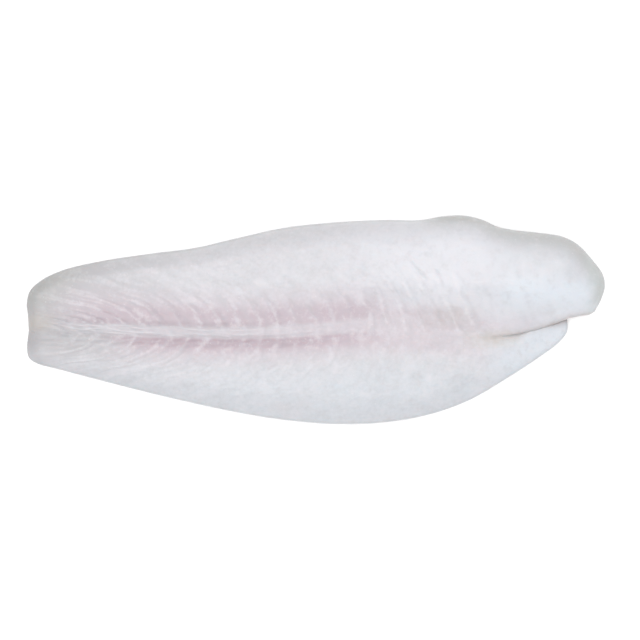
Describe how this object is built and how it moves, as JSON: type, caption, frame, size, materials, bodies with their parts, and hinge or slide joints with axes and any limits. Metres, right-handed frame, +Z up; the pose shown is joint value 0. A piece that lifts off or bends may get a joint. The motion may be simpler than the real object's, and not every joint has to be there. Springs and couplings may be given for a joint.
{
  "type": "raw basa fillet",
  "caption": "Raw skinless white-fish fillet lying flat: thick rounded loin side, thinner belly side, median seam with chevron flakes, and a slanting cut between its lobes at the head end.",
  "frame": {"origin": "centre of the bounding box at its bottom, on the flat underside that the fillet lies on", "axes": "+X along the fillet from tail to head end, +Y across it from the belly side to the loin side, +Z up out of the shown side"},
  "size_m": [0.2602, 0.094, 0.0197],
  "materials": {
    "flesh": "wet, pale, slightly translucent raw fish flesh"
  },
  "bodies": {
    "root": {"fillet": "flesh"}
  },
  "joints": []
}
